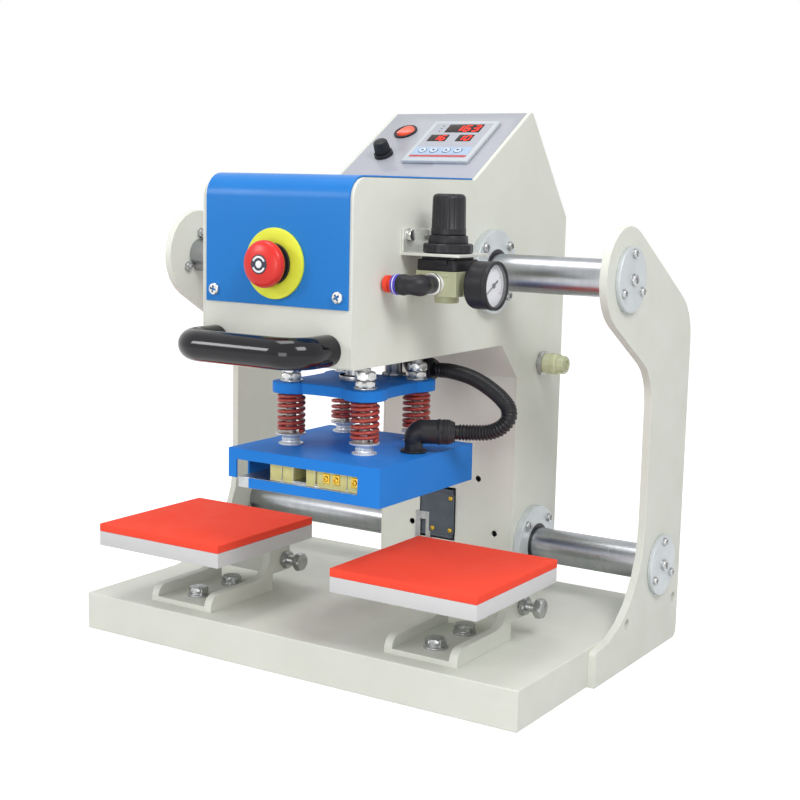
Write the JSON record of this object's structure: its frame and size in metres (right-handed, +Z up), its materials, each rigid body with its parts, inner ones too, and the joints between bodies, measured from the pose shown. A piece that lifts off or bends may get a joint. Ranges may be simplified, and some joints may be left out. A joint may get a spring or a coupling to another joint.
{
  "type": "pneumatic heat press",
  "caption": "Bench heat press whose head slides on two shafts between two padded stations and is pressed down by an air cylinder.",
  "frame": {"origin": "centre of the bounding box on the table, at rest, without the conduit hose", "axes": "+X to the right seen from the front, +Y to the back, +Z up; the carriage slides along X"},
  "size_m": [0.524, 0.4626, 0.5251],
  "materials": {
    "ivory_paint": "satin powder coat",
    "blue_paint": "satin powder coat",
    "panel_film": "matt printed film on sheet",
    "shaft_steel": "ground and polished",
    "zinc_steel": "zinc plated",
    "grey_paint": "satin",
    "plate_aluminium": "machined",
    "white_plate": "white coated steel",
    "red_silicone": "matt",
    "red_plastic": "gloss",
    "yellow_plastic": "satin",
    "black_plastic": "satin",
    "gloss_black": "gloss",
    "khaki_paint": "satin die casting",
    "spring_paint": "satin",
    "clear_yellow": "translucent",
    "key_film": "matt"
  },
  "bodies": {
    "frame": {"base_tray": "ivory_paint", "left_side_plate": "ivory_paint", "right_side_plate": "ivory_paint", "upper_left_end_cap": "ivory_paint", "lower_left_end_cap": "ivory_paint", "upper_right_end_cap": "ivory_paint", "lower_right_end_cap": "ivory_paint", "upper_shaft": "shaft_steel", "lower_shaft": "shaft_steel", "left_bracket": "ivory_paint", "right_bracket": "ivory_paint", "left_lower_plate": "white_plate", "right_lower_plate": "white_plate", "left_silicone_pad": "red_silicone", "right_silicone_pad": "red_silicone"},
    "carriage": {"left_cheek": "ivory_paint", "right_cheek": "ivory_paint", "head_wrap": "ivory_paint", "rear_cover": "ivory_paint", "front_cover": "blue_paint", "upper_bearing": "grey_paint", "lower_bearing": "grey_paint", "handle": "gloss_black", "estop_base": "yellow_plastic", "control_panel": "panel_film", "temperature_controller": "panel_film", "limit_switch": "black_plastic", "silencer": "clear_yellow", "regulator_bracket": "zinc_steel", "regulator_body": "khaki_paint", "regulator_bonnet": "black_plastic", "pressure_gauge": "black_plastic", "elbow_fitting": "black_plastic", "air_cylinder": "plate_aluminium", "hose_upper_elbow": "black_plastic", "conduit_hose": "black_plastic"},
    "press": {"piston_rod": "shaft_steel", "press_spider": "blue_paint"},
    "platen": {"heater_cover": "blue_paint", "heating_plate": "plate_aluminium", "front_left_post": "zinc_steel", "front_right_post": "zinc_steel", "rear_left_post": "zinc_steel", "rear_right_post": "zinc_steel", "front_left_spring": "spring_paint", "front_right_spring": "spring_paint", "rear_left_spring": "spring_paint", "rear_right_spring": "spring_paint", "hose_lower_elbow": "black_plastic"},
    "left_bolt": {"left_clamp_bolt": "zinc_steel"},
    "right_bolt": {"right_clamp_bolt": "zinc_steel"},
    "estop": {"estop_button": "red_plastic"},
    "rocker": {"rocker_button": "red_plastic"},
    "fuse": {"fuse_cap": "black_plastic"},
    "knob": {"regulator_knob": "black_plastic"},
    "needle": {"gauge_needle": "red_plastic"},
    "key_body_1": {"key_1": "key_film"},
    "key_body_2": {"key_2": "key_film"},
    "key_body_3": {"key_3": "key_film"},
    "key_body_4": {"key_4": "key_film"}
  },
  "joints": [
    {"name": "carriage_slide", "type": "slide", "parent": "frame", "child": "carriage", "axis": [1, 0, 0], "range_m": [-0.174, 0.103]},
    {"name": "press_slide", "type": "slide", "parent": "carriage", "child": "press", "axis": [0, 0, -1], "range_m": [0, 0.059]},
    {"name": "platen_float", "type": "slide", "parent": "press", "child": "platen", "axis": [0, 0, 1], "range_m": [0, 0.004], "stiffness_N_per_m": 20000, "springref_m": -0.003, "deforming": ["front_left_spring", "front_right_spring", "rear_left_spring", "rear_right_spring"]},
    {"name": "estop_push", "type": "slide", "parent": "carriage", "child": "estop", "axis": [0, 1, 0], "range_m": [0, 0.005], "stiffness_N_per_m": 800, "springref_m": -0.002},
    {"name": "rocker_tilt", "type": "hinge", "parent": "carriage", "child": "rocker", "pos_m": [-0.013, 0.09794, 0.50472], "axis": [1, 0, 0], "range_deg": [0, 16]},
    {"name": "fuse_cap_turn", "type": "hinge", "parent": "carriage", "child": "fuse", "pos_m": [-0.014, 0.058, 0.48448], "axis": [0, -0.5299, 0.848], "range_deg": [-90, 0]},
    {"name": "knob_turn", "type": "hinge", "parent": "carriage", "child": "knob", "pos_m": [0.143, -0.07675, 0.4113], "axis": [0, 0, 1], "range_deg": [-720, 0]},
    {"name": "needle_turn", "type": "hinge", "parent": "carriage", "child": "needle", "pos_m": [0.1883, -0.07675, 0.37], "axis": [1, 0, 0], "range_deg": [-240, 0]},
    {"name": "left_clamp_turn", "type": "hinge", "parent": "frame", "child": "left_bolt", "pos_m": [-0.1385, 0.01925, 0.066], "axis": [1, 0, 0], "range_deg": [-360, 0]},
    {"name": "right_clamp_turn", "type": "hinge", "parent": "frame", "child": "right_bolt", "pos_m": [0.1385, 0.01925, 0.066], "axis": [1, 0, 0], "range_deg": [-360, 0]},
    {"name": "key_1_press", "type": "slide", "parent": "carriage", "child": "key_body_1", "axis": [0, 0.5299, -0.848], "range_m": [0, 0.0005], "stiffness_N_per_m": 500, "springref_m": -0.0005},
    {"name": "key_2_press", "type": "slide", "parent": "carriage", "child": "key_body_2", "axis": [0, 0.5299, -0.848], "range_m": [0, 0.0005], "stiffness_N_per_m": 500, "springref_m": -0.0005},
    {"name": "key_3_press", "type": "slide", "parent": "carriage", "child": "key_body_3", "axis": [0, 0.5299, -0.848], "range_m": [0, 0.0005], "stiffness_N_per_m": 500, "springref_m": -0.0005},
    {"name": "key_4_press", "type": "slide", "parent": "carriage", "child": "key_body_4", "axis": [0, 0.5299, -0.848], "range_m": [0, 0.0005], "stiffness_N_per_m": 500, "springref_m": -0.0005}
  ],
  "couplings": [
    {"joint": "needle_turn", "follows": "knob_turn", "ratio": 0.33333}
  ]
}
